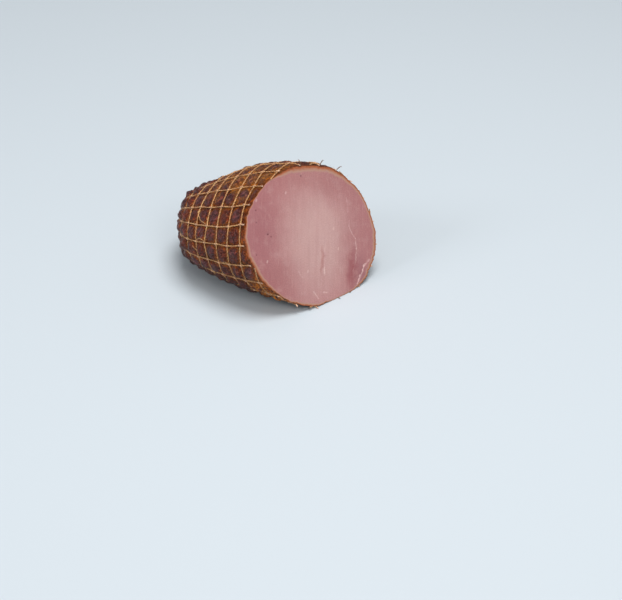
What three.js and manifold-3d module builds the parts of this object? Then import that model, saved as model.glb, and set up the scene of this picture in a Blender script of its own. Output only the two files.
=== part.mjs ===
import * as THREE from "three";
import { mergeVertices } from "three/addons/utils/BufferGeometryUtils.js";
import Module from "manifold-3d";

// Cold-smoked pork loin in its net, cut across the thick end and lying as it rests on a table.
// Millimetres. +Y runs from the cut to the tail, +Z is up, and the loin rests on z = 0.

// Size and taper of the log
const LOIN_WIDTH = 97.5;
const LOIN_HEIGHT = 90; // over the middle of the cut
const TAIL_LENGTH = 97.4; // from the middle of the cut to the tip of the tail
const TOP_FALL = 0.406; // fall of the top line for each millimetre towards the tail
const WIDTH_CLOSING = 3.05; // power of the curve that closes the sides at the tail
const HEIGHT_CLOSING = 8.7; // a higher power closes top and bottom later, so the tail is blunt
const TAIL_TIP_HEIGHT = 24;
const UNDERSIDE_FULLNESS = 2.16; // power of the lower half of the section, 2 is an ellipse
const FRONT_FLARE = 0.0084; // spread of the thick end, for each square millimetre ahead of y = 0
const SAG = 1.2; // the soft underside would reach this far under the table, and lies flat instead
const PRESSED_LEVEL = 0.85; // height of the mean skin over the table where it lies flat
const PRESS_ROUNDING = 0.7; // how softly the flat turns into the round underside

// Broad lumps and hollows: middle and reach in ring and strand numbers, and height
const LUMPS = [
  { ring: 0.8, rings: 1.8, strand: 17.6, strands: 2.0, height: 1.9 }, // crown behind the cut
  { ring: 4.8, rings: 1.5, strand: 17.8, strands: 2.2, height: -1.85 }, // saddle before the tail
  { ring: 6.7, rings: 0.8, strand: 19.7, strands: 0.9, height: 0.9 }, // shoulder of the tail
  { ring: 7.2, rings: 0.9, strand: 1.6, strands: 1.2, height: -1.2 }, // flattened side of the tail
  { ring: 6.9, rings: 1.4, strand: 3.8, strands: 2.0, height: -3.2 },
  { ring: 4.6, rings: 1.6, strand: 5.8, strands: 1.3, height: -1.6 }, // lower side
];
const LUMPS_END = 12; // they die out over this distance before the tip

// The slanted cut, a plane through the middle of the thick end
const CUT_LEAN = 0.529; // shift in y for each millimetre up
const CUT_TURN = -0.24; // shift in y for each millimetre towards +X
const CUT_CENTRE = LOIN_HEIGHT / 2 - SAG;

// The net's mesh: strands run along the log, rings run round it
const STRANDS = 20;
const DEGREE = Math.PI / 180;
const FIRST_STRAND = 70 * DEGREE; // above the -X side
const STRAND_DRIFT = 1.5 * DEGREE; // pulls strands together at the top and under the log
const TWIST = -0.091 * DEGREE; // turn of every strand for each millimetre along
const FIRST_RING = 26.2; // y of ring 0 on the axis; rings behind it count up
const RING_PITCH = 10.55;
const RING_TIGHTENING = 0.19; // rings draw closer towards the tail
const LAST_RING = 7;
const RING_LEAN = 0.164; // shift in y for each millimetre up
const RING_TURN = 0.137; // shift in y for each millimetre towards +X, at y = 0
const RING_TURN_GROWTH = 0.0011;
const RING_SETTLING = 15; // over this length before the tip the rings lose their lean

// Relief of the skin between the threads, and the threads
const PILLOW_CREST = 1.2;
const TAIL_SWELLING = 0.2; // extra crest at the tail
const SWELLING_FROM = 60; // the crest starts to grow at this y
const SWELLING_OVER = 30;
const TOP_FLATNESS = 0.75; // share of the crest that is missing on top of the log
const TOP_FROM = 0.25; // upward part of the skin's normal where the top begins
const TOP_OVER = 0.55;
const RIM_RELEASE = 9; // the crest dies out over this distance behind the cut, where the net is slack
const GROOVE_DEPTH = 1.3;
const TAIL_GROOVE = 1.6; // extra depth at the tip, where the net draws tight
const TAIL_GROOVE_ONSET = 3; // power of the curve that brings it in
const PILLOW_UNEVENNESS = 0.35;
const PILLOW_SQUARENESS = 0.6;
const THREAD_RADIUS = 0.68;
const THREAD_CLEARANCE = 0.2; // over the table
const CROSSING_ROOM = 2; // least distance of a crossing behind the cut
const END_LENGTH = 1.6; // least length of a cut strand past the rim
const END_LENGTH_SPREAD = 1.6;
const END_SPLAY = 0.8; // least distance of a cut end off the skin
const END_SPLAY_SPREAD = 1.6;
const RIM_SPLAY = 0.3;
const SPLAY_FROM = 3; // ends lower than this over the table lie flat
const SPLAY_OVER = 8;
const BUTTON_RADIUS = 6.2; // the gathered net at the tail's tip
const BUTTON_DEPTH = 2.7;
const BUTTON_EDGE_AT = 0.25; // height of the button's widest edge, as a part of its depth
const STRAND_TAIL = 0.4; // distance before the tip where the strands end, inside the gathered net
const STRAND_TAIL_THINNING = 0.7; // the strands' radius there, as a part of the thread's

// Fineness of the faceted skin
const FACETS_PER_STRAND = 4;
const FACETS_PER_RING = 3;
const FRONT_RING = -6;
const PROBE = 0.02; // step in ring or strand number for slopes and normals
const BUTTON_STEPS = 3;
const LOOK_AHEAD = 1.5; // rings searched ahead of a strand's first crossing for its rim
const SEARCH_STEPS = 30;
const CUT_BLOCK_SIZE = 300;

const wasm = await Module();
wasm.setup();

function clamp(value, low, high) {
  return Math.min(high, Math.max(low, value));
}

// A repeatable draw from 0 to 1 for an index
function vary(index) {
  const wave = Math.sin(index * 12.9898 + 4.1414) * 43758.5453;
  return wave - Math.floor(wave);
}

// From 1 over most of the log down to 0 at the tip
function closing(y, power) {
  const part = clamp(y / TAIL_LENGTH, 0, 1);
  return Math.sqrt(1 - part ** power);
}

function sectionPoint(y, angle) {
  const close = closing(y, HEIGHT_CLOSING);
  const openHeight = (LOIN_HEIGHT - TOP_FALL * y) / 2;
  const flare = FRONT_FLARE * Math.min(y, 0) ** 2;
  const halfWidth = (LOIN_WIDTH / 2 + flare) * closing(y, WIDTH_CLOSING);
  const centre = openHeight * close + TAIL_TIP_HEIGHT * (1 - close) - SAG;
  const power = Math.sin(angle) < 0 ? 2 / UNDERSIDE_FULLNESS : 1;
  const side = Math.sign(Math.cos(angle)) * Math.abs(Math.cos(angle)) ** power;
  const up = Math.sign(Math.sin(angle)) * Math.abs(Math.sin(angle)) ** power;
  const rise = openHeight * close * up;
  const over = centre + rise - PRESSED_LEVEL;
  const z = PRESSED_LEVEL + (over + Math.hypot(over, PRESS_ROUNDING)) / 2;
  return { x: -halfWidth * side, rise, z };
}

function ringPosition(ring) {
  return FIRST_RING + RING_PITCH * ring - RING_TIGHTENING * ring ** 2;
}

function ringNumberAt(y) {
  const half = RING_PITCH / (2 * RING_TIGHTENING);
  return half - Math.sqrt(half ** 2 - (y - FIRST_RING) / RING_TIGHTENING);
}

function strandAngle(strand, y) {
  const even = (strand * 2 * Math.PI) / STRANDS;
  return FIRST_STRAND - even - STRAND_DRIFT * Math.sin(2 * even) + TWIST * y;
}

// A point of the mean skin where ring and strand numbers cross; both may be fractions
function meanSkin(ring, strand) {
  const nominal = ringPosition(ring);
  const angle = strandAngle(strand, nominal);
  const level = sectionPoint(nominal, angle);
  const settle = clamp((TAIL_LENGTH - nominal) / RING_SETTLING, 0, 1);
  const turn = RING_TURN + RING_TURN_GROWTH * nominal;
  const y = nominal + settle * (RING_LEAN * level.rise + turn * level.x);
  const point = sectionPoint(y, angle);
  return new THREE.Vector3(point.x, y, point.z);
}

function alongSkin(ring, strand) {
  return meanSkin(ring + PROBE, strand).sub(meanSkin(ring - PROBE, strand));
}

function roundSkin(ring, strand) {
  return meanSkin(ring, strand + PROBE).sub(meanSkin(ring, strand - PROBE));
}

function skinNormal(ring, strand) {
  return alongSkin(ring, strand).cross(roundSkin(ring, strand)).normalize();
}

function lumpLift(ring, strand) {
  let lift = 0;
  for (const lump of LUMPS) {
    const along = (ring - lump.ring) / lump.rings;
    const turns = (strand - lump.strand) / STRANDS;
    const across = ((turns - Math.round(turns)) * STRANDS) / lump.strands;
    lift += lump.height * Math.exp(-(along ** 2) - across ** 2);
  }
  return lift * clamp((TAIL_LENGTH - ringPosition(ring)) / LUMPS_END, 0, 1);
}

function netPoint(ring, strand, lift) {
  const height = lift + lumpLift(ring, strand);
  return meanSkin(ring, strand).addScaledVector(skinNormal(ring, strand), height);
}

// Millimetres of skin for one whole step of the ring or the strand number
function ringStep(ring, strand) {
  return alongSkin(ring, strand).length() / (2 * PROBE);
}

function strandStep(ring, strand) {
  return roundSkin(ring, strand).length() / (2 * PROBE);
}

// How far a point lies behind the plane of the cut, along +Y
function behindCut(point) {
  return point.y - CUT_TURN * point.x - CUT_LEAN * (point.z - CUT_CENTRE);
}

function toGeometry(corners) {
  const geometry = new THREE.BufferGeometry();
  const positions = corners.flatMap((corner) => [corner.x, corner.y, corner.z]);
  geometry.setAttribute("position", new THREE.Float32BufferAttribute(positions, 3));
  return geometry;
}

function toSolid(geometry) {
  const bare = geometry.clone();
  bare.deleteAttribute("normal");
  bare.deleteAttribute("uv");
  const merged = mergeVertices(bare);
  const vertProperties = new Float32Array(merged.attributes.position.array);
  const triVerts = new Uint32Array(merged.index.array);
  return new wasm.Manifold(new wasm.Mesh({ numProp: 3, vertProperties, triVerts }));
}

function fromSolid(solid) {
  const mesh = solid.getMesh();
  const geometry = new THREE.BufferGeometry();
  geometry.setAttribute("position", new THREE.Float32BufferAttribute(mesh.vertProperties, 3));
  geometry.setIndex(new THREE.Uint32BufferAttribute(mesh.triVerts, 1));
  return geometry;
}

// The loin
function pillowLift(ring, strand) {
  const along = Math.abs(Math.sin(Math.PI * ring));
  const across = Math.abs(Math.sin(Math.PI * strand));
  const bulge = (along * across) ** PILLOW_SQUARENESS;
  const y = ringPosition(ring);
  const cell = Math.floor(ring) * STRANDS + Math.floor(strand);
  const swelling = clamp((y - SWELLING_FROM) / SWELLING_OVER, 0, 1);
  const open = PILLOW_CREST + PILLOW_UNEVENNESS * (2 * vary(cell) - 1) + TAIL_SWELLING * swelling;
  const top = clamp((skinNormal(ring, strand).z - TOP_FROM) / TOP_OVER, 0, 1) * (1 - swelling);
  const release = clamp(behindCut(meanSkin(ring, strand)) / RIM_RELEASE, 0, 1);
  const crest = open * (1 - TOP_FLATNESS * top) * release;
  const depth = GROOVE_DEPTH + TAIL_GROOVE * clamp(y / TAIL_LENGTH, 0, 1) ** TAIL_GROOVE_ONSET;
  const plumpness = clamp((TAIL_LENGTH - y) / BUTTON_RADIUS, 0, 1);
  return (crest + depth) * bulge * plumpness - depth;
}

function skinVertex(ring, strand) {
  const vertex = netPoint(ring, strand, pillowLift(ring, strand));
  vertex.z = Math.max(vertex.z, 0);
  return vertex;
}

function wholeLog() {
  const columns = STRANDS * FACETS_PER_STRAND;
  const rows = [];
  for (let ring = FRONT_RING; ringPosition(ring) < TAIL_LENGTH - 1; ring += 1 / FACETS_PER_RING) {
    const row = [];
    for (let column = 0; column < columns; column += 1) {
      row.push(skinVertex(ring, column / FACETS_PER_STRAND));
    }
    rows.push(row);
  }
  const corners = [];
  for (let i = 0; i + 1 < rows.length; i += 1) {
    for (let j = 0; j < columns; j += 1) {
      const next = (j + 1) % columns;
      corners.push(rows[i][j], rows[i + 1][j], rows[i + 1][next]);
      corners.push(rows[i][j], rows[i + 1][next], rows[i][next]);
    }
  }
  const front = new THREE.Vector3(0, ringPosition(FRONT_RING), CUT_CENTRE);
  const tip = new THREE.Vector3(0, TAIL_LENGTH - GROOVE_DEPTH - TAIL_GROOVE, TAIL_TIP_HEIGHT - SAG);
  const last = rows[rows.length - 1];
  for (let j = 0; j < columns; j += 1) {
    const next = (j + 1) % columns;
    corners.push(front, rows[0][j], rows[0][next]);
    corners.push(tip, last[next], last[j]);
  }
  return toSolid(toGeometry(corners));
}

// A block whose rear face is the plane of the cut
function cutBlock() {
  const half = CUT_BLOCK_SIZE / 2;
  const inward = new THREE.Vector3(-CUT_TURN, 1, -CUT_LEAN).normalize();
  const block = new THREE.BoxGeometry(CUT_BLOCK_SIZE, CUT_BLOCK_SIZE, CUT_BLOCK_SIZE);
  const turn = new THREE.Quaternion().setFromUnitVectors(new THREE.Vector3(0, 1, 0), inward);
  block.applyQuaternion(turn);
  block.translate(-inward.x * half, -inward.y * half, CUT_CENTRE - inward.z * half);
  return toSolid(block);
}

function loinGeometry() {
  return fromSolid(wholeLog().subtract(cutBlock()));
}

// The net: each thread is a run of four-sided sections, and threads share corners where they cross
function threadVertex(ring, strand, lift) {
  const vertex = netPoint(ring, strand, lift);
  vertex.z = Math.max(vertex.z, THREAD_CLEARANCE);
  return vertex;
}

// The corners round a crossing, ringSide and strandSide each -1 or +1
function crossingCorner(ring, strand, ringSide, strandSide) {
  const alongShift = (ringSide * THREAD_RADIUS) / ringStep(ring, strand);
  const roundShift = (strandSide * THREAD_RADIUS) / strandStep(ring, strand);
  return threadVertex(ring + alongShift, strand + roundShift, 0);
}

function strandJoint(ring, strand, side) {
  return [
    threadVertex(ring, strand, THREAD_RADIUS),
    crossingCorner(ring, strand, side, -1),
    threadVertex(ring, strand, -THREAD_RADIUS),
    crossingCorner(ring, strand, side, 1),
  ];
}

function ringJoint(ring, strand, side) {
  return [
    threadVertex(ring, strand, THREAD_RADIUS),
    crossingCorner(ring, strand, 1, side),
    threadVertex(ring, strand, -THREAD_RADIUS),
    crossingCorner(ring, strand, -1, side),
  ];
}

function strandSection(ring, strand, lift = 0, radius = THREAD_RADIUS) {
  const shift = radius / strandStep(ring, strand);
  return [
    threadVertex(ring, strand, lift + radius),
    threadVertex(ring, strand - shift, lift),
    threadVertex(ring, strand, lift - radius),
    threadVertex(ring, strand + shift, lift),
  ];
}

function ringSection(ring, strand) {
  const shift = THREAD_RADIUS / ringStep(ring, strand);
  return [
    threadVertex(ring, strand, THREAD_RADIUS),
    threadVertex(ring + shift, strand, 0),
    threadVertex(ring, strand, -THREAD_RADIUS),
    threadVertex(ring - shift, strand, 0),
  ];
}

function thread(corners, sections, capFront, capBack) {
  for (let i = 0; i + 1 < sections.length; i += 1) {
    const near = sections[i];
    const far = sections[i + 1];
    for (let side = 0; side < near.length; side += 1) {
      const next = (side + 1) % near.length;
      corners.push(near[side], near[next], far[next]);
      corners.push(near[side], far[next], far[side]);
    }
  }
  if (capFront) {
    const [a, b, c, d] = sections[0];
    corners.push(a, d, c, a, c, b);
  }
  if (capBack) {
    const [a, b, c, d] = sections[sections.length - 1];
    corners.push(a, b, c, a, c, d);
  }
}

// The number between inside and outside where the mean skin meets the cut
function whereCut(pointAt, inside, outside) {
  let low = inside;
  let high = outside;
  for (let step = 0; step < SEARCH_STEPS; step += 1) {
    const middle = (low + high) / 2;
    if (behindCut(pointAt(middle)) > 0) {
      low = middle;
    } else {
      high = middle;
    }
  }
  return low;
}

function isKept(ring, strand) {
  return ring <= LAST_RING && behindCut(meanSkin(ring, strand)) > CROSSING_ROOM;
}

// A strand's cut end runs a little past the rim and splays outwards, less so near the table
function strandFront(ring, strand) {
  const rim = whereCut((at) => meanSkin(at, strand), ring, ring - LOOK_AHEAD);
  const length = END_LENGTH + END_LENGTH_SPREAD * vary(strand);
  const tip = rim - length / ringStep(rim, strand);
  const freedom = clamp((meanSkin(tip, strand).z - SPLAY_FROM) / SPLAY_OVER, 0, 1);
  const splay = END_SPLAY + END_SPLAY_SPREAD * vary(strand + STRANDS);
  return [
    strandSection(tip, strand, splay * freedom),
    strandSection(rim, strand, RIM_SPLAY * freedom),
    strandSection((rim + ring) / 2, strand),
  ];
}

// From the last ring round the tail into the gathered end
function strandBack(strand) {
  const tip = ringNumberAt(TAIL_LENGTH - STRAND_TAIL);
  const run = [strandJoint(LAST_RING, strand, 1)];
  for (let at = LAST_RING + 1 / FACETS_PER_RING; at < tip; at += 1 / FACETS_PER_RING) {
    run.push(strandSection(at, strand));
  }
  run.push(strandSection(tip, strand, 0, STRAND_TAIL_THINNING * THREAD_RADIUS));
  return run;
}

function netStrand(corners, strand) {
  thread(corners, strandBack(strand), false, true);
  let ring = LAST_RING;
  while (isKept(ring - 1, strand)) {
    const front = strandJoint(ring - 1, strand, 1);
    const middle = strandSection(ring - 0.5, strand);
    thread(corners, [front, middle, strandJoint(ring, strand, -1)], false, false);
    ring -= 1;
  }
  thread(corners, [...strandFront(ring, strand), strandJoint(ring, strand, -1)], true, false);
}

// The step of a ring between two strands: whole, cut off at one end, or cut away
function ringRun(corners, ring, strand) {
  const next = (strand + 1) % STRANDS;
  const fromHere = isKept(ring, strand);
  const toNext = isKept(ring, next);
  if (!fromHere && !toNext) {
    return;
  }
  const skinAt = (number) => meanSkin(ring, number);
  const start = fromHere ? strand : whereCut(skinAt, strand + 1, strand);
  const end = toNext ? strand + 1 : whereCut(skinAt, strand, strand + 1);
  const near = fromHere ? ringJoint(ring, strand, 1) : ringSection(ring, start);
  const far = toNext ? ringJoint(ring, next, -1) : ringSection(ring, end);
  thread(corners, [near, ringSection(ring, (start + end) / 2), far], !fromHere, !toNext);
}

// The gathered end of the net, a flat button on the tip of the tail
function gatheredEnd() {
  const edge = BUTTON_EDGE_AT * BUTTON_DEPTH;
  const profile = [new THREE.Vector2(0, -THREAD_RADIUS)];
  profile.push(new THREE.Vector2(BUTTON_RADIUS - THREAD_RADIUS, -THREAD_RADIUS));
  for (let step = 0; step < BUTTON_STEPS; step += 1) {
    const angle = (step / BUTTON_STEPS) * (Math.PI / 2);
    const height = edge + (BUTTON_DEPTH - edge) * Math.sin(angle);
    profile.push(new THREE.Vector2(BUTTON_RADIUS * Math.cos(angle), height));
  }
  profile.push(new THREE.Vector2(0, BUTTON_DEPTH));
  const button = new THREE.LatheGeometry(profile, STRANDS);
  button.translate(0, TAIL_LENGTH, TAIL_TIP_HEIGHT - SAG);
  return toSolid(button);
}

function netGeometry() {
  const corners = [];
  for (let strand = 0; strand < STRANDS; strand += 1) {
    netStrand(corners, strand);
  }
  for (let ring = FRONT_RING; ring <= LAST_RING; ring += 1) {
    for (let strand = 0; strand < STRANDS; strand += 1) {
      ringRun(corners, ring, strand);
    }
  }
  return fromSolid(toSolid(toGeometry(corners)).add(gatheredEnd()));
}

const smokedMeat = new THREE.MeshStandardMaterial({ color: 0x6b4038, roughness: 0.55, metalness: 0 });
const netThread = new THREE.MeshStandardMaterial({ color: 0xc0925f, roughness: 0.85, metalness: 0 });

function namedMesh(name, geometry, material) {
  const mesh = new THREE.Mesh(geometry, material);
  mesh.name = name;
  return mesh;
}

const model = new THREE.Group();
model.add(namedMesh("loin", loinGeometry(), smokedMeat));
model.add(namedMesh("net", netGeometry(), netThread));

// The origin goes under the middle of the whole
const box = new THREE.Box3().setFromObject(model);
model.position.set(-(box.min.x + box.max.x) / 2, -(box.min.y + box.max.y) / 2, -box.min.z);
model.updateMatrixWorld(true);

export default model;
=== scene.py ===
# %% [markdown]
# A cold-smoked pork loin in its net. The loin is a short, thick log of meat that was tied into a
# knitted net, brined and smoked, and then cut across, so that it shows three things: a dark skin
# that swells between the threads, the threads themselves, and a pale pink cut face.
# This lesson builds the three as separate meshes on one shared map of the skin, in the place that
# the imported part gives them, and then gives each its own finish, light and camera.

import bmesh
import bpy
import numpy as np
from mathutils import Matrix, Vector, noise


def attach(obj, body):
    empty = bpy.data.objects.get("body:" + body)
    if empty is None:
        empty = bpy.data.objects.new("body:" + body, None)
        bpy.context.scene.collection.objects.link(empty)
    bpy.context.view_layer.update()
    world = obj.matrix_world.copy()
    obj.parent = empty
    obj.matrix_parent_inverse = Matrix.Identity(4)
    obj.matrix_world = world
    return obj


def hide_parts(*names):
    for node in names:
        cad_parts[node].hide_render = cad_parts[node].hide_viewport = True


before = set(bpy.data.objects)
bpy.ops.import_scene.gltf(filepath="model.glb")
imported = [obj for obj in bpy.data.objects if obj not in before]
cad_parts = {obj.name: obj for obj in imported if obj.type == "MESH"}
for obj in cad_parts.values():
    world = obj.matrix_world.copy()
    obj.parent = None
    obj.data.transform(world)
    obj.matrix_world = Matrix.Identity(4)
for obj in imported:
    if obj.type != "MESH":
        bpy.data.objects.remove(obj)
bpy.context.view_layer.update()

# %% [markdown]
# The skin is easiest to describe with two numbers, as on a globe. The ring number counts the
# threads that run round the log, the strand number counts those that run along it, and a point
# between two threads has fractions. The measures below are in millimetres, and nearly all are the
# ones the part was drawn with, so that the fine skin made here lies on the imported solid. The last
# two of the broad lumps and the bend at the rim were added here, and the fifth lump was sharpened.
# Another way would be to shrink a fine mesh onto the solid, but its rows would not follow the net.

# %% Measures of the log and its net
MM = 0.001
MIDDLE_OF_CUT = np.array([-0.9352, -35.5458, 0.0])  # from the log's own zero to the part's
LOIN_WIDTH = 97.5
LOIN_HEIGHT = 90.0  # over the middle of the cut
TAIL_LENGTH = 97.4  # from the middle of the cut to the tip
TOP_FALL = 0.406  # of the top line, for each millimetre towards the tail
WIDTH_CLOSING = 3.05  # power of the curve that closes the sides at the tail
HEIGHT_CLOSING = 8.7
TAIL_TIP_HEIGHT = 24.0
UNDERSIDE_FULLNESS = 2.16  # power of the lower half of the section, 2 is an ellipse
FRONT_FLARE = 0.0084
SAG = 1.2  # the soft underside would reach this far under the table
PRESSED_LEVEL = 0.85  # mean skin over the table where it lies flat
PRESS_ROUNDING = 0.7
CUT_LEAN = 0.529  # shift of the cut in y for each millimetre up
CUT_TURN = -0.24  # and for each millimetre towards +X
CUT_CENTRE = LOIN_HEIGHT / 2 - SAG
STRANDS = 20
FIRST_STRAND = np.radians(70)  # above the -X side
STRAND_DRIFT = np.radians(1.5)  # pulls strands together at the top and under the log
TWIST = np.radians(-0.091)  # of every strand, for each millimetre along
FIRST_RING = 26.2  # y of ring 0 on the axis
RING_PITCH = 10.55
RING_TIGHTENING = 0.19
FRONT_RING = -6
LAST_RING = 7
RING_LEAN = 0.164  # shift of a ring in y for each millimetre up
RING_TURN = 0.137  # and for each millimetre towards +X
RING_TURN_GROWTH = 0.0011
RING_SETTLING = 15.0  # over this length before the tip the rings lose their lean
LUMPS = [  # ring, its reach, strand, its reach, height
    (0.8, 1.8, 17.6, 2.0, 1.9),
    (4.8, 1.5, 17.8, 2.2, -1.85),
    (6.7, 0.8, 19.7, 0.9, 0.9),
    (7.2, 0.9, 1.6, 1.2, -1.2),
    (6.9, 1.0, 3.8, 1.5, -3.7),
    (4.6, 1.6, 5.8, 1.3, -1.6),
    (-2.6, 0.9, 13.5, 0.8, 1.7),
    (-4.2, 1.0, 9.2, 0.9, 1.8),
]
LUMPS_END = 6.2  # they die out over this length before the tip
EDGE_DROP = 2.1  # how far the skin bends down to the cut at the top of the rim
EDGE_DROP_LENGTH = 8.0
EDGE_DROP_AT = 17.0  # strand number, and its reach
EDGE_DROP_REACH = 2.1
HASH_STEP = 12.9898
HASH_START = 4.1414
HASH_SIZE = 43758.5453


def vary(index):
    """A repeatable draw from 0 to 1 for an index."""
    wave = np.sin(np.asarray(index, float) * HASH_STEP + HASH_START) * HASH_SIZE
    return wave - np.floor(wave)


def closing(y, power):
    return np.sqrt(1 - np.clip(y / TAIL_LENGTH, 0, 1) ** power)


def section(y, angle):
    """Sideways place, rise from the axis, and height of the log's outline at y."""
    close = closing(y, HEIGHT_CLOSING)
    open_height = (LOIN_HEIGHT - TOP_FALL * y) / 2
    flare = FRONT_FLARE * np.minimum(y, 0) ** 2
    half_width = (LOIN_WIDTH / 2 + flare) * closing(y, WIDTH_CLOSING)
    centre = open_height * close + TAIL_TIP_HEIGHT * (1 - close) - SAG
    power = np.where(np.sin(angle) < 0, 2 / UNDERSIDE_FULLNESS, 1.0)
    side = np.sign(np.cos(angle)) * np.abs(np.cos(angle)) ** power
    up = np.sign(np.sin(angle)) * np.abs(np.sin(angle)) ** power
    rise = open_height * close * up
    over = centre + rise - PRESSED_LEVEL
    z = PRESSED_LEVEL + (over + np.hypot(over, PRESS_ROUNDING)) / 2
    return -half_width * side, rise, z


def ring_position(ring):
    return FIRST_RING + RING_PITCH * ring - RING_TIGHTENING * ring**2


def ring_number_at(y):
    half = RING_PITCH / (2 * RING_TIGHTENING)
    return half - np.sqrt(half**2 - (y - FIRST_RING) / RING_TIGHTENING)


print("rings on the axis, y in mm:", ring_position(np.arange(LAST_RING + 1)).round(1))

# %% [markdown]
# A real net is never even: each knot slips a little, and the threads between two knots run
# straight. So every crossing gets a small shift of its own, and points between crossings share
# the shifts in straight proportion. The meat and the threads read the same shifted numbers, which
# keeps every thread in its groove. Shaking the finished meshes with noise would part them.

# %% Map from ring and strand numbers to the skin
RING_SLIP = 0.075  # in ring numbers
STRAND_SLIP = 0.055  # in strand numbers
SLIP_FADE_FROM = 6.2  # ring number where the slips begin to die out towards the tail
SLIP_FADE_OVER = 1.6
RING_SEED = 300
STRAND_SEED = 900
PROBE = 0.01
NEAR_TIP = ring_number_at(TAIL_LENGTH) - 2 * PROBE  # beyond it the skin has no clear outside


def cell_number(ring, strand):
    """One whole number for each mesh of the net."""
    return np.floor(ring) * STRANDS + np.mod(np.floor(strand), STRANDS)


def slip(ring, strand, seed):
    """A crossing's own shift, from -1 to 1, shared out between crossings."""
    row = np.floor(ring)
    column = np.floor(strand)
    down = ring - row
    across = strand - column

    def draw(at_row, at_column):
        return 2 * vary(seed + cell_number(at_row, at_column)) - 1

    near = draw(row, column) * (1 - across) + draw(row, column + 1) * across
    far = draw(row + 1, column) * (1 - across) + draw(row + 1, column + 1) * across
    return near * (1 - down) + far * down


def even_skin(ring, strand):
    """Points of the log without its lumps, in mm, as an array whose last side is x, y, z."""
    ring = np.asarray(ring, float)
    strand = np.asarray(strand, float)
    fade = np.clip(1 - (ring - SLIP_FADE_FROM) / SLIP_FADE_OVER, 0, 1)
    slipped_ring = ring + RING_SLIP * fade * slip(ring, strand, RING_SEED)
    slipped_strand = strand + STRAND_SLIP * fade * slip(ring, strand, STRAND_SEED)
    nominal = np.minimum(ring_position(slipped_ring), TAIL_LENGTH)
    even = slipped_strand * 2 * np.pi / STRANDS
    angle = FIRST_STRAND - even - STRAND_DRIFT * np.sin(2 * even) + TWIST * nominal
    level_x, level_rise, _ = section(nominal, angle)
    settle = np.clip((TAIL_LENGTH - nominal) / RING_SETTLING, 0, 1)
    turn = RING_TURN + RING_TURN_GROWTH * nominal
    y = nominal + settle * (RING_LEAN * level_rise + turn * level_x)
    x, _, z = section(y, angle)
    return np.stack(np.broadcast_arrays(x, y, z), axis=-1)


def behind_cut(points):
    """How far points lie behind the slanted plane of the cut, along +Y."""
    return points[..., 1] - CUT_TURN * points[..., 0] - CUT_LEAN * (points[..., 2] - CUT_CENTRE)


def unit(vectors):
    return vectors / np.maximum(np.linalg.norm(vectors, axis=-1, keepdims=True), 1e-9)


def outward(ring, strand):
    along = even_skin(ring + PROBE, strand) - even_skin(ring - PROBE, strand)
    around = even_skin(ring, strand + PROBE) - even_skin(ring, strand - PROBE)
    return unit(np.cross(along, around))


def strands_from(strand, middle):
    """Strand numbers from a middle, the shorter way round the log."""
    turns = (strand - middle) / STRANDS
    return (turns - np.round(turns)) * STRANDS


def lump_lift(ring, strand):
    lift = 0.0
    for at_ring, ring_reach, at_strand, strand_reach, height in LUMPS:
        along = (ring - at_ring) / ring_reach
        across = strands_from(strand, at_strand) / strand_reach
        lift = lift + height * np.exp(-(along**2) - across**2)
    left = TAIL_LENGTH - np.minimum(ring_position(ring), TAIL_LENGTH)
    return lift * np.clip(left / LUMPS_END, 0, 1)


def skin(ring, strand):
    """Points of the mean skin with the log's lumps and hollows, in mm."""
    ring = np.asarray(ring, float)
    strand = np.asarray(strand, float)
    out = outward(np.minimum(ring, NEAR_TIP), strand)
    base = even_skin(ring, strand)
    across = strands_from(strand, EDGE_DROP_AT) / EDGE_DROP_REACH
    near_cut = np.clip(1 - behind_cut(base) / EDGE_DROP_LENGTH, 0, 1) ** 2
    lift = lump_lift(ring, strand) - EDGE_DROP * near_cut * np.exp(-(across**2))
    return base + out * lift[..., None]


print("skin at ring 0, strand 5:", skin(0, 5).round(2), "faces", outward(0, 5).round(2))

# %% [markdown]
# Between the threads the meat swells into small cushions, because it was soft when the net was
# pulled tight. Smoking then dried and wrinkled it. The height of the skin over the mean is
# written as one function: a cushion for each mesh of the net, a groove under each thread, and
# three sizes of noise for lumps, dents and wrinkles. Sculpting by hand would look as good, but
# a function can be tuned and repeats exactly.

# %% Relief of the smoked skin
CUSHION_CREST = 1.8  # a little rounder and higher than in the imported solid
CUSHION_UNEVENNESS = 0.35
CUSHION_SQUARENESS = 0.6
TAIL_SWELLING = 0.7  # higher cushions from this y on
SWELLING_FROM = 60.0
SWELLING_OVER = 30.0
TOP_FLATNESS = 0.7  # share of the crest that is missing on top of the log
TOP_FROM = 0.25  # upward part of the outside where the top begins
TOP_OVER = 0.55
RIM_RELEASE = 8.0  # the relief dies out over this length towards the cut
GROOVE = 0.95
RIM_GROOVE = 0.45
TAIL_PLUMPING = 6.2  # and over this one towards the tip
LUMP_SIZE = 11.0
LUMP_HEIGHT = 0.55
DENT_SIZE = 4.2
DENT_HEIGHT = 0.6
WRINKLE_SIZE = 2.2
WRINKLE_HEIGHT = 0.55
GRAIN_HEIGHT = 0.4
GRAIN_SIZE = Vector((2.0, 7.0, 2.0))  # the dried grain runs along the log
LUMP_PLACE = Vector((31.7, 12.3, 7.9))  # where in the noise each starts
DENT_PLACE = Vector((3.1, 61.9, 17.2))
WRINKLE_PLACE = Vector((71.3, 2.7, 44.1))


def cushion(ring, strand):
    """From 0 on a thread to 1 in the middle of a mesh."""
    across = np.abs(np.sin(np.pi * ring)) * np.abs(np.sin(np.pi * strand))
    return across**CUSHION_SQUARENESS


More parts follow.
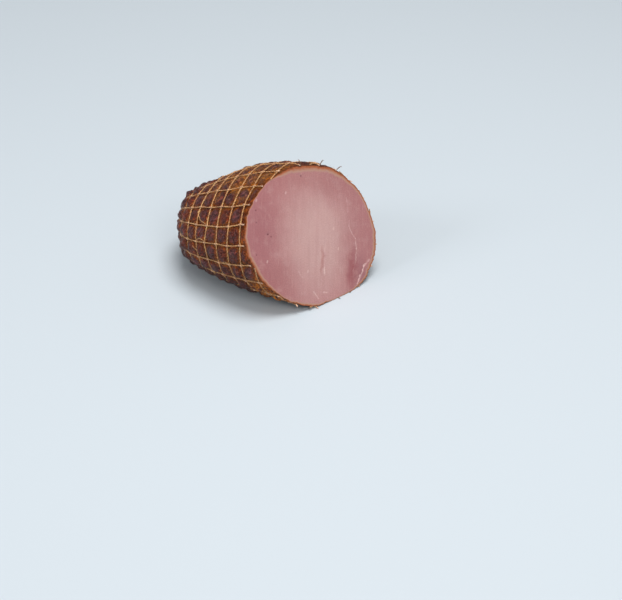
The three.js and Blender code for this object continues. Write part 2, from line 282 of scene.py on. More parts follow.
def cushion_lift(ring, strand):
    """Height of the skin over the mean: high in a mesh of the net, low under a thread."""
    y = np.minimum(ring_position(ring), TAIL_LENGTH)
    cell = cell_number(ring, strand)
    swelling = np.clip((y - SWELLING_FROM) / SWELLING_OVER, 0, 1)
    crest = CUSHION_CREST + CUSHION_UNEVENNESS * (2 * vary(cell) - 1) + TAIL_SWELLING * swelling
    top = np.clip((outward(ring, strand)[..., 2] - TOP_FROM) / TOP_OVER, 0, 1) * (1 - swelling)
    release = np.clip(behind_cut(even_skin(ring, strand)) / RIM_RELEASE, 0, 1)
    crest = crest * (1 - TOP_FLATNESS * top) * release
    groove = RIM_GROOVE + (GROOVE - RIM_GROOVE) * release
    plump = np.clip((TAIL_LENGTH - y) / TAIL_PLUMPING, 0, 1)
    return (crest + groove) * cushion(ring, strand) * plump - groove


def crease(place):
    """High where the noise crosses zero, which gives thin ridges."""
    return 0.5 - 2 * abs(noise.noise(place))


def roughened(points, amount):
    """Height of lumps, dents and wrinkles at points, in millimetres; amount is 0 on a thread."""
    heights = np.zeros(len(points))
    for index, (point, share) in enumerate(zip(points, amount)):
        place = Vector(point)
        lengthwise = Vector([side / size for side, size in zip(place, GRAIN_SIZE)])
        lump = LUMP_HEIGHT * noise.noise(place / LUMP_SIZE + LUMP_PLACE)
        dent = DENT_HEIGHT * noise.noise(place / DENT_SIZE + DENT_PLACE)
        wrinkle = WRINKLE_HEIGHT * crease(place / WRINKLE_SIZE + WRINKLE_PLACE)
        grain = GRAIN_HEIGHT * crease(lengthwise + DENT_PLACE)
        heights[index] = lump + share * (dent + wrinkle + grain)
    return heights


mesh_middle = cushion_lift(np.array([2.5]), np.array([5.5]))
print("middle of a mesh of the net over the mean skin, mm:", mesh_middle.round(2))


# %% [markdown]
# The loin is one sheet wrapped twice: the first rows of a flat grid are drawn out from the middle
# of the cut to its rim, and the rest run back over the skin to the tail. Merging doubles then
# closes the seam and both ends, which leaves one solid piece of meat. A primitive cut with a
# boolean would also give a flat face, but its faces would be long slivers and the rim too sharp.

# %% Rows of the loin's sheet
COLUMNS = 400
FACE_ROWS = 46
SKIN_ROWS = 190
CORNER_STEPS = 4
RIM_ROUNDING = 0.55
FACE_CROWDING = 1.25  # draws the face's rows together towards the rim
WELL_BEHIND = 4.0  # a ring number behind the cut all round
SEARCH_STEPS = 30
ARC_SAMPLES = 500
TOWARDS_TIP = np.sin(np.linspace(0, 1, ARC_SAMPLES) * np.pi / 2)
FACE_CENTRE = np.array([0.0, 0.0, CUT_CENTRE])
FACE_OUT = unit(np.array([CUT_TURN, -1.0, CUT_LEAN]))
FIBRE_LEAN = np.radians(22.5)  # the meat's fibres lean this much from upright on the face
level_right = unit(np.array([1.0, CUT_TURN, 0.0]))
steep_up = np.cross(FACE_OUT, level_right)
FACE_RIGHT = np.cos(FIBRE_LEAN) * level_right - np.sin(FIBRE_LEAN) * steep_up
FACE_UP = np.sin(FIBRE_LEAN) * level_right + np.cos(FIBRE_LEAN) * steep_up
print("across the fibres", FACE_RIGHT.round(3), "along them", FACE_UP.round(3))


def lifted_skin(ring, strand):
    return skin(ring, strand) + outward(ring, strand) * cushion_lift(ring, strand)[..., None]


def rim_ring(strand, surface):
    """The ring number at which a surface meets the cut, for each strand number."""
    inside = np.full(np.shape(strand), WELL_BEHIND)
    outside = np.full(np.shape(strand), float(FRONT_RING))
    for _ in range(SEARCH_STEPS):
        middle = (inside + outside) / 2
        kept = behind_cut(surface(middle, strand)) > 0
        inside = np.where(kept, middle, inside)
        outside = np.where(kept, outside, middle)
    return inside


def travelled(path):
    """The way covered along a path at each of its points."""
    return np.concatenate([[0], np.cumsum(np.linalg.norm(np.diff(path, axis=0), axis=1))])


def even_rings(rim, strand):
    """Ring numbers from the rim to the tip in equal steps over the skin, and the way covered."""
    start_y = ring_position(rim)
    rings = ring_number_at(np.minimum(start_y + (TAIL_LENGTH - start_y) * TOWARDS_TIP, TAIL_LENGTH))
    way = travelled(skin(rings, np.full(ARC_SAMPLES, strand)))
    wanted = np.linspace(0, way[-1], SKIN_ROWS + 1)
    return np.interp(wanted, way, rings), wanted


column_strands = np.linspace(0, STRANDS, COLUMNS + 1)
column_rims = rim_ring(column_strands, lifted_skin)
skin_rings = np.zeros((SKIN_ROWS + 1, COLUMNS + 1))
skin_travel = np.zeros((SKIN_ROWS + 1, COLUMNS + 1))
for column, (rim, strand) in enumerate(zip(column_rims, column_strands)):
    skin_rings[:, column], skin_travel[:, column] = even_rings(rim, strand)
lengths = skin_travel[-1]
print("skin from rim to tip, mm:", lengths.min().round(1), "to", lengths.max().round(1))

# %% Heights of the skin's rows
KEPT_BEHIND = 0.3  # mm that each of the first rows stays further behind the cut
KEPT_ROWS = 4
row_strands = np.broadcast_to(column_strands, skin_rings.shape)
short_rings = np.minimum(skin_rings, NEAR_TIP)
skin_base = skin(skin_rings, row_strands)
skin_out = outward(short_rings, row_strands)
skin_cushion = cushion(skin_rings, row_strands)
rough = roughened(skin_base.reshape(-1, 3), skin_cushion.reshape(-1)).reshape(skin_rings.shape)
rough[:, -1] = rough[:, 0]
skin_lift = cushion_lift(short_rings, row_strands) + rough
skin_points = skin_base + skin_out * skin_lift[..., None]
skin_points[-1] = skin_points[-1].mean(axis=0)

for row in range(SKIN_ROWS):
    wanted = KEPT_BEHIND * min(row, KEPT_ROWS)
    skin_points[row, :, 1] += np.maximum(0, wanted - behind_cut(skin_points[row]))
skin_points[0, :, 1] -= behind_cut(skin_points[0])
skin_points[..., 2] = np.maximum(skin_points[..., 2], 0)
corners = skin_points.reshape(-1, 3)
print("skin box, mm:", corners.min(0).round(1), corners.max(0).round(1))

# %% [markdown]
# The cut face is nearly flat, but a knife leaves soft waves, the fibres stand up in faint
# streaks, and brine has left a few pores. These are pressed into the mesh where they are big
# enough to catch light. Places on the face are in millimetres across and along the fibres from
# its middle, and each pore has a width and a depth too.

# %% Rows of the cut face
FACE_CROWN = 0.5
FACE_WAVE = 0.22
FACE_WAVE_SIZE = 14.0
FACE_STREAK = 0.05
STREAK_WIDTH = 1.3
STREAK_LENGTH = 9.0
WAVE_SLICE = 2.2  # which slice of the noise each reads
STREAK_SLICE = 5.5
FACE_EASE = 6  # how soon the waves start in from the rim
PORES = [  # across, along, width, depth
    (-31.6, -4.5, 1.1, 0.9),
    (-29.2, -5.9, 0.7, 0.5),
    (-5.7, 34.0, 1.0, 0.6),
    (-40.6, 2.6, 0.7, 0.5),
    (-41.0, 10.2, 0.7, 0.4),
    (-40.4, -17.8, 0.6, 0.3),
]


def on_face(points):
    """Millimetres across and along the fibres from the middle of the face."""
    arm = points - FACE_CENTRE
    return arm @ FACE_RIGHT, arm @ FACE_UP


def face_relief(right, up, openness):
    """Height over the plane of the cut; openness is 0 at the rim and 1 in the middle."""
    streak = noise.noise(Vector((right / STREAK_WIDTH, up / STREAK_LENGTH, STREAK_SLICE)))
    wave = noise.noise(Vector((right / FACE_WAVE_SIZE, up / FACE_WAVE_SIZE, WAVE_SLICE)))
    height = FACE_CROWN * openness
    height += min(1, FACE_EASE * openness) * (FACE_WAVE * wave + FACE_STREAK * streak)
    for pore_right, pore_up, width, depth in PORES:
        away = ((right - pore_right) ** 2 + (up - pore_up) ** 2) / (width / 2) ** 2
        height -= depth * np.exp(-away)
    return height


SMOKED_BAND = [  # degrees round the face from its right, and how deep the smoke went in, in mm
    (0, 2.6), (20, 1.6), (40, 2.2), (52, 2.8), (65, 3.4), (100, 3.6), (110, 2.8), (120, 2.2),
    (130, 1.0), (142, 0.5), (160, 0.5), (175, 0.9), (190, 2.0), (202, 2.6), (228, 2.0), (242, 0.9),
    (255, 1.0), (270, 1.8), (285, 1.2), (300, 0.7), (312, 1.1), (330, 1.9), (345, 2.4), (360, 2.6),
]
rim_points = skin_points[0]
to_centre = FACE_CENTRE - rim_points
rim_reach = np.linalg.norm(to_centre, axis=1)
face_steps = np.linspace(0, 1, FACE_ROWS + 1) ** FACE_CROWDING
face_inward = RIM_ROUNDING + face_steps[:, None] * (rim_reach - RIM_ROUNDING)[None, :]
face_points = rim_points[None] + unit(to_centre)[None] * face_inward[..., None]
face_right, face_up = on_face(face_points)
openness = 1 - (1 - face_inward / rim_reach) ** 2
relief = np.zeros(face_inward.shape)
for at in np.ndindex(FACE_ROWS + 1, COLUMNS):
    relief[at] = face_relief(face_right[at], face_up[at], openness[at])
relief[0] = 0
relief[:, -1] = relief[:, 0]
face_points += FACE_OUT * relief[..., None]
face_points[-1] = face_points[-1].mean(axis=0)
rim_right, rim_up = on_face(rim_points)
rim_angle = np.degrees(np.arctan2(rim_up, rim_right)) % 360
column_band = np.interp(rim_angle, *zip(*SMOKED_BAND))
print("rim reach from the middle, mm:", rim_reach.min().round(1), "to", rim_reach.max().round(1))

# %% The rounded rim between face and skin
CELL_SEED = 57
back = np.zeros(rim_points.shape)
for column, side in np.ndindex(back.shape):
    along_column = skin_points[:, column, side]
    back[column, side] = np.interp(RIM_ROUNDING, skin_travel[:, column], along_column)
corner_points = []
corner_inward = []
for step in range(1, CORNER_STEPS):
    share = step / CORNER_STEPS
    bend = (1 - share) ** 2 * face_points[0] + 2 * share * (1 - share) * rim_points + share**2 * back
    corner_points.append(bend)
    corner_inward.append(np.full(COLUMNS + 1, RIM_ROUNDING * (1 - 2 * share)))
skin_points[0] = back
skin_travel[0] = RIM_ROUNDING

loin_table = np.concatenate([face_points[::-1], np.array(corner_points), skin_points])
no_skin = np.zeros((FACE_ROWS + CORNER_STEPS, COLUMNS + 1))
cell_draws = vary(cell_number(skin_rings, row_strands) + CELL_SEED)
loin_values = {  # what the finishes read at each corner of the sheet
    "inward": np.concatenate([face_inward[::-1], np.array(corner_inward), -skin_travel]),
    "cushion": np.concatenate([no_skin, skin_cushion]),
    "cell": np.concatenate([no_skin, cell_draws]),
    "upward": np.concatenate([no_skin, skin_out[..., 2]]),
    "band": np.broadcast_to(column_band, loin_table.shape[:2]),
}
print("rows of the loin's sheet:", len(loin_table) - 1, "columns:", COLUMNS)


# %% Helpers that turn a table of places into a closed mesh
MERGE_DISTANCE = 2e-6


def wrap_sheet(work, table, layers):
    """Adds a flat grid to a bmesh and moves each corner to its place in the table, in mm."""
    rows, columns = table.shape[0] - 1, table.shape[1] - 1
    grid = bmesh.ops.create_grid(work, x_segments=columns, y_segments=rows, size=0.5)
    placed = (table + MIDDLE_OF_CUT) * MM
    for vertex in grid["verts"]:
        column = round((vertex.co.x + 0.5) * columns)
        row = round((vertex.co.y + 0.5) * rows)
        vertex.co = placed[row, column]
        for layer, values in layers.items():
            vertex[layer] = values[row, column]


def put_in_scene(name, data):
    thing = bpy.data.objects.new(name, data)
    bpy.context.scene.collection.objects.link(thing)
    return thing


def finish_piece(work, name, node, materials):
    """Closes a bmesh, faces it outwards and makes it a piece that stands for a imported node."""
    bmesh.ops.remove_doubles(work, verts=work.verts, dist=MERGE_DISTANCE)
    bmesh.ops.recalc_face_normals(work, faces=work.faces)
    for face in work.faces:
        face.smooth = True
    open_edges = sum(1 for edge in work.edges if len(edge.link_faces) != 2)
    triangles = sum(len(face.verts) - 2 for face in work.faces)
    mesh = bpy.data.meshes.new(name)
    work.to_mesh(mesh)
    work.free()
    for material in materials:
        mesh.materials.append(material)
    piece = put_in_scene(name, mesh)
    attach(piece, "root")
    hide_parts(node)
    print(f"{name}: {triangles} triangles, {open_edges} open edges")


# %% [markdown]
# Finishes come before the meshes, so that each piece gets its own as it is made. All of them are
# built from noise and from attributes that the meshes carry, such as the distance from the rim.
# Small builders for nodes keep each finish readable. Image textures would be quicker to paint,
# but they blur close up, and these never do.

# %% Builders for shader nodes
def paint(red, green, blue):
    """A colour as read off a screen, 0 to 255, made linear."""
    channels = []
    for value in (red, green, blue):
        part = value / 255
        channels.append(part / 12.92 if part <= 0.04045 else ((part + 0.055) / 1.055) ** 2.4)
    return (*channels, 1.0)


class Finish:
    """A node tree with short ways to add and join nodes."""

    def __init__(self, tree):
        self.tree = tree

    def add(self, kind, inputs=None, **settings):
        node = self.tree.nodes.new("ShaderNode" + kind)
        for name, value in settings.items():
            setattr(node, name, value)
        for name, value in (inputs or {}).items():
            self.feed(node.inputs[name], value)
        return node

    def feed(self, socket, value):
        if isinstance(value, bpy.types.NodeSocket):
            self.tree.links.new(value, socket)
        else:
            socket.default_value = value

    def math(self, operation, *values, clamp=False):
        return self.add("Math", dict(enumerate(values)), operation=operation, use_clamp=clamp).outputs[0]

    def times(self, first, second):
        return self.math("MULTIPLY", first, second)

    def flip(self, mask):
        return self.math("SUBTRACT", 1.0, mask)

    def vector(self, operation, *values):
        node = self.add("VectorMath", dict(enumerate(values)), operation=operation)
        return node.outputs["Value" if operation in ("DOT_PRODUCT", "LENGTH") else "Vector"]

    def scale(self, vector, factor):
        return self.add("VectorMath", {0: vector, "Scale": factor}, operation="SCALE").outputs[0]

    def blend(self, mask, low, high, mode="MIX"):
        inputs = {0: mask, 6: low, 7: high}  # the factor and the two colours of a Mix node
        return self.add("Mix", inputs, data_type="RGBA", blend_type=mode).outputs[2]

    def coat(self, tone, mask, weight, colour):
        """Lays a colour over a tone, as far as a mask and a weight allow."""
        return self.blend(self.times(mask, weight), tone, paint(*colour))

    def between(self, value, low, high):
        """0 below low, 1 above high, smooth in between."""
        inputs = {"Value": value, "From Min": low, "From Max": high}
        return self.add("MapRange", inputs, interpolation_type="SMOOTHSTEP").outputs["Result"]

    def attribute(self, name, output="Fac"):
        return self.add("Attribute", attribute_name=name).outputs[output]

    def place(self):
        """The piece's own coordinates in millimetres."""
        return self.scale(self.add("TexCoord").outputs["Object"], 1 / MM)

    def grain(self, place, size, detail=3.0, roughness=0.55, lean=0.0):
        """Noise whose blotches are about size millimetres across."""
        inputs = {"Vector": place, "Scale": 1 / size, "Detail": detail}
        inputs.update({"Roughness": roughness, "Distortion": lean})
        return self.add("TexNoise", inputs).outputs["Fac"]

    def stray(self, place, size, detail, reach):
        """A place in the plane, moved about by noise of a size, so that lines tremble."""
        inputs = {"Vector": place, "Scale": 1 / size, "Detail": detail}
        colour = self.add("TexNoise", inputs).outputs["Color"]
        offset = self.vector("SUBTRACT", colour, (0.5, 0.5, 0.5))
        return self.vector("ADD", place, self.vector("MULTIPLY", offset, (reach, reach, 0.0)))

    def use(self, group, **inputs):
        """Places a shared effect, and gives its outputs by name."""
        return self.add("Group", inputs, node_tree=group).outputs


def new_material(name, sockets):
    """A material, its node tree and its shader, with the sockets that are the same all over."""
    material = bpy.data.materials.new(name)
    material.use_nodes = True
    shader = material.node_tree.nodes["Principled BSDF"]
    for socket, value in sockets.items():
        shader.inputs[socket].default_value = value
    return material, Finish(material.node_tree), shader


def dress(finish, shader, tone, height, strength, distance):
    """Gives the shader its colour and its fine relief."""
    bump = finish.add("Bump", {"Height": height, "Strength": strength, "Distance": distance})
    finish.feed(shader.inputs["Base Color"], tone)
    finish.feed(shader.inputs["Normal"], bump.outputs["Normal"])
    print("nodes in this finish:", len(finish.tree.nodes))


def new_group(name, inputs, outputs):
    """A node group; an input is a place or a number as its value is, and outputs are numbers."""
    tree = bpy.data.node_groups.new(name, "ShaderNodeTree")
    for socket_name, value in inputs.items():
        kind = "NodeSocketVector" if isinstance(value, tuple) else "NodeSocketFloat"
        socket = tree.interface.new_socket(socket_name, in_out="INPUT", socket_type=kind)
        socket.default_value = value
    for socket_name in outputs:
        tree.interface.new_socket(socket_name, in_out="OUTPUT", socket_type="NodeSocketFloat")
    entry = tree.nodes.new("NodeGroupInput").outputs
    return tree, Finish(tree), entry, tree.nodes.new("NodeGroupOutput").inputs

# %% [markdown]
# Three effects are used many times, so each is a node group. A stroke is a thin line between two
# places, for fat and sinew. A patch is a soft oval, for paler or darker muscle. Wrinkles is the
# fine relief of dried meat, too small for the mesh, with a mask of its valleys for painted shade.

# %% Shared effects as node groups
ORIGIN = (0, 0, 0)
stroke_group, finish, entry, leave = new_group(
    "Stroke",
    {"Place": ORIGIN, "From": ORIGIN, "To": (1, 0, 0), "Width": 1.0, "Softness": 0.5},
    ["Mask"],
)
arm = finish.vector("SUBTRACT", entry["Place"], entry["From"])
line = finish.vector("SUBTRACT", entry["To"], entry["From"])
covered = finish.vector("DOT_PRODUCT", arm, line)
along = finish.math("DIVIDE", covered, finish.vector("DOT_PRODUCT", line, line), clamp=True)
distance = finish.vector("LENGTH", finish.vector("SUBTRACT", arm, finish.scale(line, along)))
half = finish.times(entry["Width"], 0.5)
edge = finish.math("ADD", half, entry["Softness"])
finish.feed(leave["Mask"], finish.flip(finish.between(distance, half, edge)))

patch_group, finish, entry, leave = new_group(
    "Patch", {"Place": ORIGIN, "Middle": ORIGIN, "Reach": (10, 10, 10), "Edge": 0.6}, ["Mask"]
)
arm = finish.vector("SUBTRACT", entry["Place"], entry["Middle"])
distance = finish.vector("LENGTH", finish.vector("DIVIDE", arm, entry["Reach"]))
outer = finish.math("ADD", 1.0, entry["Edge"])
finish.feed(leave["Mask"], finish.flip(finish.between(distance, finish.flip(entry["Edge"]), outer)))

wrinkle_group, finish, entry, leave = new_group(
    "Wrinkles", {"Place": ORIGIN, "Size": 1.0, "Lean": 0.6}, ["Height", "Valleys"]
)
sizes = finish.add("CombineXYZ", {side: entry["Size"] for side in range(3)}).outputs[0]
scaled = finish.vector("DIVIDE", entry["Place"], sizes)
folds = finish.grain(scaled, 1.0, 3.0, 0.5, entry["Lean"])
ridge = finish.math("ABSOLUTE", finish.math("SUBTRACT", folds, 0.5))
valleys = finish.flip(finish.between(ridge, 0.0, 0.09))
finish.feed(leave["Height"], finish.math("SUBTRACT", folds, finish.times(valleys, 0.35)))
finish.feed(leave["Valleys"], valleys)
print("node groups:", [tree.name for tree in bpy.data.node_groups])

# %% [markdown]
# Smoked skin is lean meat dried to a dark purple-brown, a little glossy from its own fat, with
# golden fat showing in the grooves, on top of the log and along the lower edge by the cut. On top
# the colour also carries painted light, and there is painted shade on the underside and in the
# wrinkles, and a painted highlight on the cushions. The colour is a stack of soft layers from the
# most common tone to the rarest, each with a noise mask of its own size, because real smoke colour
# is uneven at every scale.

# %% Smoked skin
GOLDEN_PATCHES = [((-43, -33, 17), (14, 11, 12)), ((-34, -47, 9), (12, 9, 7))]  # middle, reach
smoked_skin, finish, shader = new_material(
    "smoked skin",
    {"Specular IOR Level": 0.38, "Subsurface Weight": 0.04, "Subsurface Scale": 0.002},
)
place = finish.place()
cushion_mask = finish.attribute("cushion")
cell_draw = finish.attribute("cell")
inward = finish.attribute("inward")
upward = finish.attribute("upward")
blotches = finish.grain(place, 8.0, 4.0)
small_blotches = finish.grain(place, 2.8, 4.0, 0.55)
crown = finish.between(cushion_mask, 0.3, 0.8)

# lean meat between the threads, from the common tones to the rare ones
tone = finish.blend(finish.between(blotches, 0.4, 0.6), paint(84, 38, 30), paint(134, 68, 46))
dusky = finish.math("MULTIPLY_ADD", finish.between(cell_draw, 0.2, 0.8), 0.55, 0.4)
tone = finish.coat(tone, dusky, crown, (104, 66, 68))
red = finish.between(finish.grain(place, 5.5, 3.0), 0.52, 0.66)
tone = finish.coat(tone, red, 0.4, (142, 62, 34))
# painted highlight: paler blotches on the tops of the cushions
painted_highlight_tops = finish.between(cushion_mask, 0.4, 0.9)
pale = finish.times(finish.between(small_blotches, 0.52, 0.7), painted_highlight_tops)
tone = finish.coat(tone, pale, 0.5, (156, 112, 98))

# fat in the grooves, in streaks, on top and along the lower edge, with painted light on top and painted
# shade underneath
groove_break = finish.between(finish.grain(place, 4.5, 2.0), 0.34, 0.56)
tone = finish.coat(tone, finish.times(finish.flip(crown), groove_break), 0.8, (164, 96, 50))
streaks = finish.between(finish.grain(place, 3.2, 4.0, 0.6, 1.2), 0.56, 0.68)
tone = finish.coat(tone, streaks, 0.25, (176, 104, 60))
# golden fat on top, and painted light: the skin is lighter the more it faces up
top_fat_and_painted_light = finish.between(finish.math("ADD", upward, finish.times(blotches, 0.9)), 1.22, 1.5)
tone = finish.coat(tone, top_fat_and_painted_light, 0.8, (182, 124, 80))
# painted shade: darker on the underside of the log, which faces away from the light
low = finish.times(finish.between(upward, -0.15, -0.75), finish.between(blotches, 0.35, 0.5))
tone = finish.coat(tone, low, 0.75, (66, 28, 16))
for middle, reach in GOLDEN_PATCHES:
    patch = finish.use(patch_group, Place=place, Middle=middle, Reach=reach, Edge=0.5)["Mask"]
    tone = finish.coat(tone, patch, finish.between(small_blotches, 0.35, 0.55), (216, 128, 46))

# a band along the rim, golden on the near side and dark on the far one
ragged = finish.math("ADD", inward, finish.times(small_blotches, 3.0))
sideways = finish.add("SeparateXYZ", {0: place}).outputs["X"]
lit_side = finish.between(sideways, 22.0, -6.0)
rim_tone = finish.blend(lit_side, paint(74, 38, 26), paint(160, 86, 44))
tone = finish.blend(finish.times(finish.between(ragged, -2.6, 1.2), 0.8), tone, rim_tone)

# painted shade in the wrinkle valleys, mottle and shine
coarse = finish.use(wrinkle_group, Place=place, Size=2.6, Lean=0.8)
fine = finish.use(wrinkle_group, Place=place, Size=0.9, Lean=0.5)
# painted shade in the valleys of the coarse wrinkles
tone = finish.coat(tone, coarse["Valleys"], 0.4, (50, 24, 20))
mottle = finish.between(finish.grain(place, 2.6, 4.0, 0.58), 0.3, 0.7)
tone = finish.blend(0.5, tone, mottle, "OVERLAY")
rich = finish.add("HueSaturation", {"Color": tone, "Saturation": 1.16, "Value": 0.97})
shine = finish.math("MULTIPLY_ADD", finish.grain(place, 2.4, 3.0, 0.6), 0.8, -0.02)
finish.feed(shader.inputs["Roughness"], shine)
height = finish.math("ADD", finish.times(coarse["Height"], 1.6), finish.times(fine["Height"], 0.4))
dress(finish, shader, rich.outputs["Color"], height, 1.0, 0.0012)

# %% [markdown]
# The cut face is lean, cured pork: a broad pale middle that is partly a painted highlight, deeper
# pink towards the edges where the brine and smoke came in, a greyish line and then an orange-brown
# band at the very rim. Fibres show as faint upright streaks, and a few strokes of white fat cross
# it, and the pores hold painted shade. The pattern reads the place on the face in millimetres,
# which the mesh carries as an attribute.

# %% Marks on the cut meat
FAT_STROKES = [  # from, to, width, weight
    ((12.9, -24.0), (12.9, -28.5), 0.6, 0.6),
    ((13.5, -9.5), (12.6, -24.0), 0.5, 0.18),
    ((32.9, 7.0), (32.9, 3.6), 0.4, 0.3),
    ((32.9, 3.6), (35.0, -0.6), 0.4, 0.3),
    ((35.0, -0.6), (38.3, -4.7), 0.4, 0.35),
    ((38.3, -4.7), (39.1, -10.9), 0.4, 0.4),
    ((39.1, -10.9), (38.7, -18.5), 0.4, 0.35),
    ((38.7, -18.5), (36.0, -26.0), 0.3, 0.2),
    ((4.4, -39.9), (8.1, -44.0), 0.5, 0.5),
    ((11.8, -40.2), (15.1, -39.9), 0.4, 0.45),
    ((31.0, 22.0), (32.2, 12.0), 0.3, 0.2),
    ((-8.0, -27.0), (-4.5, -31.0), 0.4, 0.2),
]
FAT_FLECKS = [
    (-40.7, 16.0), (20.0, 0.8), (-32.4, -22.3), (-0.6, -27.4), (24.0, -12.0), (-18.0, 22.0)
]
FAT_SEAM = [(49.5, -17.8), (45.3, -21.9), (44.3, -24.7), (42.4, -28.1), (39.9, -33.7)]
DARK_PATCHES = [  # middle, reach, weight, colour
    ((-37.0, -2.0), (13.0, 21.0), 0.6, (164, 104, 108)),
    ((-26.0, -34.0), (15.0, 12.0), 0.5, (162, 100, 101)),
    ((39.0, -7.0), (13.0, 28.0), 0.45, (166, 104, 106)),
    ((36.0, -24.0), (4.5, 12.0), 0.8, (154, 84, 88)),
    ((24.0, 31.0), (14.0, 13.0), 0.4, (164, 102, 104)),
    ((43.0, -27.0), (4.0, 9.0), 0.5, (152, 100, 108)),
    ((2.0, 33.0), (34.0, 8.0), 0.4, (172, 116, 114)),
    ((11.4, -20.0), (1.4, 8.0), 0.5, (166, 96, 92)),
]

# %% Cut meat
cut_meat, finish, shader = new_material(
    "cut meat",
    {
        "Specular IOR Level": 0.3,
        "Subsurface Weight": 0.12,
        "Subsurface Radius": (1.0, 0.5, 0.4),
        "Subsurface Scale": 0.003,
    },
)
spot = finish.attribute("face_place", "Vector")
inward = finish.attribute("inward")
swayed = finish.stray(spot, 10.0, 2.0, 9.0)
arm = finish.vector("DIVIDE", finish.vector("SUBTRACT", swayed, (9.0, -7.0, 0.0)), (1.0, 1.25, 1.0))
from_middle = finish.between(finish.vector("LENGTH", arm), 6.0, 50.0)
# the pale middle is partly the meat's own colour and partly a painted highlight, centred a little off
# the middle
tone = finish.blend(from_middle, paint(204, 163, 158), paint(180, 120, 120))
for middle, reach, weight, colour in DARK_PATCHES:
    inputs = {"Middle": (*middle, 0.0), "Reach": (*reach, 1.0), "Edge": 0.85}
    mask = finish.use(patch_group, Place=swayed, **inputs)["Mask"]
    tone = finish.coat(tone, mask, weight, colour)
fibre_place = finish.vector("MULTIPLY", spot, (1.0, 0.09, 1.0))
fibres = finish.grain(fibre_place, 1.1, 5.0, 0.7)
wide_fibres = finish.grain(fibre_place, 4.5, 3.0, 0.6)
clouds = finish.grain(spot, 7.0, 4.0, 0.6)
for pattern, low, high, weight, colour in [
    (fibres, 0.5, 0.75, 0.22, (214, 178, 172)),
    (fibres, 0.5, 0.28, 0.2, (162, 104, 102)),
    (wide_fibres, 0.5, 0.7, 0.16, (170, 114, 114)),
    (clouds, 0.5, 0.7, 0.25, (204, 164, 158)),
]:
    tone = finish.coat(tone, finish.between(pattern, low, high), weight, colour)
speckle = finish.grain(spot, 0.8, 3.0, 0.75)
tone = finish.blend(0.12, tone, finish.between(speckle, 0.25, 0.75), "OVERLAY")

# %% Fat and pores on the cut meat
trembling = finish.stray(spot, 2.0, 3.0, 2.4)
broken = finish.math("MULTIPLY_ADD", finish.between(finish.grain(spot, 2.0, 3.0), 0.35, 0.6), 0.7, 0.3)


def draw(tone, where, start, end, width, softness, weight, colour, gaps=None):
    """Lays one stroke over a tone; gaps is a mask that breaks it up."""
    inputs = {"From": (*start, 0.0), "To": (*end, 0.0), "Width": width, "Softness": softness}
    mask = finish.use(stroke_group, Place=where, **inputs)["Mask"]
    return finish.coat(tone, mask if gaps is None else finish.times(mask, gaps), weight, colour)


for start, end, width, weight in FAT_STROKES:
    tone = draw(tone, trembling, start, end, 0.7 * width, 0.5, weight, (236, 206, 200), broken)
for right, up in FAT_FLECKS:
    tone = draw(tone, spot, (right, up), (right + 0.3, up + 1.0), 0.4, 0.6, 0.45, (228, 196, 188))
for start, end in zip(FAT_SEAM, FAT_SEAM[1:]):
    tone = draw(tone, trembling, start, end, 0.5, 0.7, 0.8, (230, 192, 186), broken)
# painted shade: the pores are painted dark inside their dents
for right, up, width, _ in PORES:
    tone = draw(tone, spot, (right, up), (right + 0.1, up), 0.5 * width, 0.5, 0.75, (112, 58, 64))

# %% Smoked edge of the cut meat
wander = finish.times(finish.math("SUBTRACT", finish.grain(spot, 3.0, 4.0, 0.7), 0.5), 0.8)
depth_in = finish.math("ADD", finish.math("DIVIDE", inward, finish.attribute("band")), wander)
for low, high, weight, colour in [
    (0.85, 1.3, 0.85, (186, 148, 128)),
    (0.5, 0.95, 0.85, (180, 118, 88)),
    (0.25, 0.6, 0.9, (166, 88, 50)),
    (0.0, 0.18, 0.85, (104, 52, 32)),
]:
    tone = finish.coat(tone, finish.flip(finish.between(depth_in, low, high)), weight, colour)
damp = finish.math("MULTIPLY_ADD", finish.grain(spot, 5.0, 4.0), 0.3, 0.4)
finish.feed(shader.inputs["Roughness"], damp)
height = finish.math("ADD", finish.times(fibres, 0.6), finish.times(speckle, 0.6))
dress(finish, shader, tone, height, 0.1, 0.0004)

# %% Build the loin
loin_work = bmesh.new()
new_layer = loin_work.verts.layers.float.new
wrap_sheet(loin_work, loin_table, {new_layer(name): table for name, table in loin_values.items()})
place_layer = loin_work.verts.layers.float_vector.new("face_place")
inward_layer = loin_work.verts.layers.float["inward"]
for vertex in loin_work.verts:
    vertex[place_layer] = (*on_face(np.array(vertex.co) / MM - MIDDLE_OF_CUT), 0.0)
for face in loin_work.faces:
    face.material_index = int(sum(vertex[inward_layer] for vertex in face.verts) > 0)
finish_piece(loin_work, "smoked_loin", "loin", [smoked_skin, cut_meat])

# %% [markdown]
# The net is knitted from a soft two-ply yarn. A plain round tube would look like wire, so each
# thread is a grid wrapped round its path with a two-lobed section that turns as it goes, swells
# at the crossings where the yarn is looped, and tapers to nothing at its ends.

# %% Net yarn finish
net_yarn, finish, shader = new_material(
    "net yarn", {"Roughness": 0.8, "Sheen Weight": 0.15, "Sheen Roughness": 0.6}
)
place = finish.place()
ply = finish.attribute("ply")
tip = finish.attribute("tip")
stain = finish.between(finish.grain(place, 6.0, 4.0, 0.6), 0.46, 0.68)
fuzz = finish.grain(place, 0.5, 3.0, 0.7)
worn = finish.between(finish.grain(place, 1.4, 3.0, 0.6), 0.34, 0.66)
